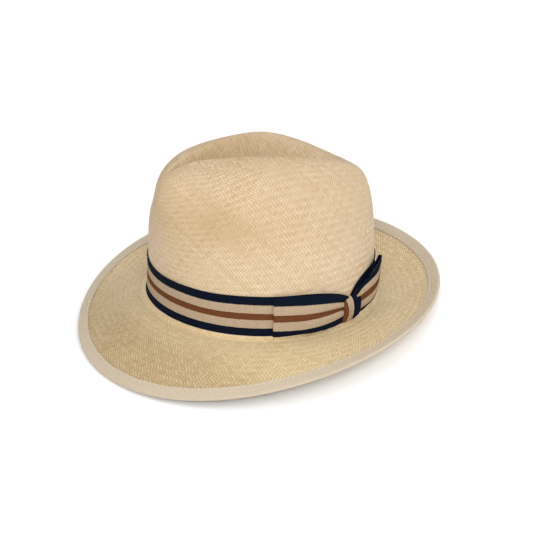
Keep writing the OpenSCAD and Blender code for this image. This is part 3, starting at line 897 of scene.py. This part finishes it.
def rear_loop():
    base = LOOP_D + RIBBON_T + GAP
    part, length = loop_sheet(
        at=lambda t: mix(BOW_END - 0.8, KNOT + 0.4, t),
        inner_d=lambda t: base + REAR_OFF * (1 - t) ** 2,
        outer_d=lambda t: (
            base + REAR_OFF * (1 - t) ** 2 + fullness(np.minimum(t / 0.76, 1))
            + 1.4 * (1 - t) ** 3 - np.sin(math.pi * t)
        ),
        low=lambda t: mix(GATHER_LOW, REAR_LOW, np.clip(1 - t, 0, 1) ** 1.5),
        high=lambda t: mix(GATHER_HIGH, REAR_HIGH, np.clip(1 - t, 0, 1) ** 0.75),
        end_turn=0.6,
        crease=0.4,
        tuck=lambda t: -0.1 * np.clip(2 * t, 0, 1),
        tilt=lambda t, w: (1 - t) ** 2 * (1 - 2 * w),
    )
    made = piece("bow_rear", [part], stripe_mat, "striped_ribbon", ["bow_rear_loop"])
    return made, length


def flat_strip(angles, low, high, d):
    """One layer of ribbon that lies d above the straw, between two heights."""
    w = np.linspace(0, 1, 15)
    th, ws = np.meshgrid(angles, w, indexing="ij")
    lows, highs, ds = (np.broadcast_to(v[:, None], th.shape) for v in (low, high, d))
    points = on_crown(mix(highs, lows, ws), th, ds + RIBBON_T / 2)
    run = run_along(points[:, len(w) // 2])
    uv = np.stack(np.meshgrid(run, 1 - w, indexing="ij"), -1)
    return cloth(points, RIBBON_T, {"uv": uv}), float(run[-1])


def under_tail():
    t = np.linspace(0, 1, 24)
    part, length = flat_strip(
        mix(KNOT + 0.4, BOW_END - 3, t), mix(GATHER_LOW + 1, TAIL_LOW, t),
        mix(GATHER_HIGH - 2, TAIL_HIGH, t), LOOP_D + REAR_OFF * t * t / 2,
    )
    made = piece("bow_tail", [part], stripe_mat, "striped_ribbon", ["bow_under_tail"])
    return made, length


def backing():
    angles = np.linspace(KNOT - BACKING_FRONT, KNOT + BACKING_REAR, 20)
    low, high, d = (np.full(20, v) for v in (BACKING_LOW, BACKING_HIGH, BAND_D + GAP))
    part, length = flat_strip(angles, low, high, d)
    made = piece("bow_base", [part], stripe_mat, "striped_ribbon", ["bow_backing"])
    return made, length


def knot():
    """The ribbon wrapped over the bow's middle, pleated lengthwise."""
    middle = (GATHER_LOW + GATHER_HIGH) / 2
    s = np.linspace(-1, 1, 33)
    a = np.linspace(0, 1, 31)
    across, along = np.meshgrid(s, a, indexing="ij")
    angle = math.pi * along
    pleat = 0.45 * np.sin(across * 7.5 + 0.5 * np.cos(angle)) * np.sin(angle) ** 0.5
    rounded = -1.4 * np.abs(across) ** 6
    waist = 1 - 0.16 * np.sin(angle) ** 2
    dome = KNOT_RISE * np.sin(angle) + pleat + rounded
    heights = middle + KNOT_HALF_H * np.cos(angle)
    around = KNOT + KNOT_HALF_ANGLE * across * waist
    points = on_crown(heights, around, LOOP_D + np.maximum(dome, 0.1))
    run = run_along(points[len(s) // 2])
    # From front to rear it shows half of the brown stripe, a beige one and a navy one.
    v = np.interp(s, [-1, -0.68, -0.05, 1], [0.5, 0.58, 0.79, 1.0])
    uv = np.stack(np.broadcast_arrays(run, v[:, None]), -1)
    part = cloth(points, RIBBON_T, {"uv": uv})
    return piece("bow_wrap", [part], stripe_mat, "knot_ribbon", ["bow_knot"]), float(run[-1])


bow_front, front_run = front_loop()
bow_rear, rear_run = rear_loop()
bow_tail, tail_run = under_tail()
bow_base, base_run = backing()
bow_wrap, wrap_run = knot()


# ---------------------------------------------------------------- sweatband
def sweatband():
    around = np.arange(360) * 1.0
    heights = np.linspace(SWEAT_H, SWEAT_LOW, 12)
    th, h = np.meshgrid(around, heights, indexing="ij")
    # It is sewn in along its foot, and free further up.
    free = smooth((h - 12) / 24)
    lean = free * (0.5 + waves(th, size=0.3, lowest=2, highest=9))
    lean = np.clip(lean, 0, None)
    hs = h + waves(th, size=0.3, lowest=3, highest=8) * free
    near = on_wall(hs, th, SWEAT_D - lean)
    far = on_wall(hs, th, SWEAT_D - lean - SWEAT_T)
    run = run_along(on_wall(10.0, np.append(around, 360.0), SWEAT_D))
    uv = np.stack(np.meshgrid(run, np.linspace(1, 0, len(heights)), indexing="ij"), -1)
    part = slab(near, far, {"uv": uv}, ring=True)
    return piece("sweatband_leather", [part], leather_mat, "leather", ["sweatband"])


def reed():
    steps, sides, turn_length = 360, 12, 0.18
    angle = np.linspace(0, 2 * math.pi, sides + 1)
    th, a = np.meshgrid(np.arange(steps) * 1.0, angle, indexing="ij")
    twist = REED_R + 0.05 * np.sin(np.radians(th) * 160 + a)
    h = SWEAT_LOW - REED_R - 0.08 + twist * np.cos(a)
    ring = on_wall(h, th, SWEAT_D - SWEAT_T / 2 + twist * np.sin(a))
    points = ring[:, :sides].reshape(-1, 3)
    faces, loops = [], []
    for i in range(steps):
        here, there = i * sides, (i + 1) % steps * sides
        for k in range(sides):
            after = (k + 1) % sides
            faces.append([here + k, here + after, there + after, there + k])
            u0, u1, v0, v1 = i * turn_length, (i + 1) * turn_length, k / sides, (k + 1) / sides
            loops += [(u0, v0), (u0, v1), (u1, v1), (u1, v0)]
    part = (points, faces, {"uv": np.array(loops)})
    return piece("reed_cord", [part], leather_mat, "leather", ["sweatband_reed"])


def sweat_stitches():
    th = (np.arange(SWEAT_STITCHES) + 0.5) * 360 / SWEAT_STITCHES
    d, h, level = SWEAT_D - SWEAT_T, 2.0, 4.0
    up = unit(on_wall(level, th, d - 1.0) - on_wall(level, th, d))
    along = unit(on_wall(level, th + STEP_TH, d) - on_wall(level, th - STEP_TH, d))
    # They slant up and down in turn.
    along = unit(along + stack(0, 0, 0.25 * (-1.0) ** np.arange(len(th))))
    paths = stitch_paths(on_wall(h, th, d - 0.12), along, up, length=3.4, rise=0.35)
    part = tubes(paths, up, radius=0.22)
    return piece("sweatband_thread", [part], light_thread, "thread", ["sweatband_stitches"])


def patch(name, angles, low, high, d, thickness, curl, material, slot, replaces):
    """A flat patch inside the crown, whose corners curl away from what is behind it."""
    s, w = np.linspace(-1, 1, 15), np.linspace(-1, 1, 13)
    ss, ws = np.meshgrid(s, w, indexing="ij")
    th, h = mix(*angles, (ss + 1) / 2), mix(high, low, (ws + 1) / 2)
    lifted = curl * np.abs(ss * ws) ** 3 + 0.05 * np.sin(5 * ss + 3 * ws)
    near = on_wall(h, th, d - lifted)
    far = on_wall(h, th, d - lifted - thickness)
    run = run_along(near[:, len(w) // 2])
    uv = np.stack(np.meshgrid(run, (1 - w) / 2 * (high - low), indexing="ij"), -1)
    return piece(name, [slab(near, far, {"uv": uv})], material, slot, replaces)


leather = sweatband()
reed_cord = reed()
sweat_thread = sweat_stitches()
tape = patch(
    "join_tape", angles=(176.5, 183.5), low=4, high=SWEAT_H - 3, d=SWEAT_D - SWEAT_T - 1.1,
    thickness=0.5, curl=0.0, material=tape_mat, slot="tape", replaces=["sweatband_join_tape"],
)
size_tag = patch(
    "size_tag", angles=(158, 168), low=8, high=20, d=SWEAT_D - SWEAT_T - 0.8,
    thickness=0.3, curl=0.4, material=label_mat, slot="label", replaces=["size_label"],
)
care_tag = patch(
    "care_tag", angles=(196, 208), low=SWEAT_H + 1, high=SWEAT_H + 22, d=SWEAT_D - 0.1,
    thickness=0.4, curl=0.8, material=label_mat, slot="label", replaces=["care_label"],
)


# ---------------------------------------------------------------- floor, light, camera
FLOOR_SIZE, FLOOR_Z = 20.0, -0.0003
PAPER_LIGHT, PAPER_DARK = (0.93, 0.93, 0.93, 1), (0.86, 0.86, 0.86, 1)
LAMPS_AIM, CAMERA_AIM = Vector((0, 0, 0.06)), Vector((0, 0, 0.045))
CAMERA_AZIMUTH, CAMERA_ELEVATION, CAMERA_ROLL, CAMERA_DISTANCE = 52, 30, -2.8, 1.3
SKY_STRENGTH = 0.72


def floor():
    mesh = bpy.data.meshes.new("floor")
    corners = [(-1, -1), (1, -1), (1, 1), (-1, 1)]
    mesh.from_pydata(
        [(x * FLOOR_SIZE, y * FLOOR_SIZE, FLOOR_Z) for x, y in corners], [], [(0, 1, 2, 3)]
    )
    look = Look("floor_paper")
    grain = look.noise(300.0, 2.0)
    tone = look.blend(look.times(grain, 0.03), PAPER_LIGHT, PAPER_DARK)
    mesh.materials.append(look.finish(tone, grain, 0.00002, roughness=0.9))
    made = bpy.data.objects.new("floor", mesh)
    bpy.context.scene.collection.objects.link(made)


def toward(azimuth, elevation):
    """The direction to a place around the hat, in degrees."""
    a, e = math.radians(azimuth), math.radians(elevation)
    return Vector((math.sin(a) * math.cos(e), -math.cos(a) * math.cos(e), math.sin(e)))


def lamp(name, azimuth, elevation, distance, size, power, tint):
    away = toward(azimuth, elevation)
    light = bpy.data.lights.new(name, "AREA")
    light.size, light.energy, light.color = size, power, tint
    made = bpy.data.objects.new(name, light)
    made.location = away * distance + LAMPS_AIM
    made.rotation_euler = away.to_track_quat("Z", "Y").to_euler()
    bpy.context.scene.collection.objects.link(made)


def camera():
    """Looks down at the front left of the hat, a little rolled."""
    away = toward(CAMERA_AZIMUTH, CAMERA_ELEVATION)
    data = bpy.data.cameras.new("camera")
    data.lens, data.sensor_width = 102.0, 36.0
    data.shift_x, data.shift_y = 0.0154, -0.0111
    made = bpy.data.objects.new("camera", data)
    roll = Matrix.Rotation(math.radians(CAMERA_ROLL), 4, "Z")
    facing = away.to_track_quat("Z", "Y").to_matrix().to_4x4() @ roll
    made.matrix_world = Matrix.Translation(CAMERA_AIM + away * CAMERA_DISTANCE) @ facing
    bpy.context.scene.collection.objects.link(made)
    bpy.context.scene.camera = made


floor()
lamp("key", 50, 30, distance=2.2, size=1.0, power=27, tint=(1.0, 0.985, 0.965))
lamp("fill", 114, 42, distance=2.4, size=2.0, power=20, tint=(0.94, 0.975, 1.0))
lamp("rim", 215, 60, distance=2.4, size=1.6, power=13, tint=(1.0, 1.0, 1.0))
camera()
world = bpy.data.worlds.new("studio")
world.use_nodes = True
world.node_tree.nodes["Background"].inputs["Color"].default_value = (1.0, 1.0, 1.0, 1.0)
world.node_tree.nodes["Background"].inputs["Strength"].default_value = SKY_STRENGTH
bpy.context.scene.world = world
bpy.context.scene.view_settings.view_transform = "Standard"
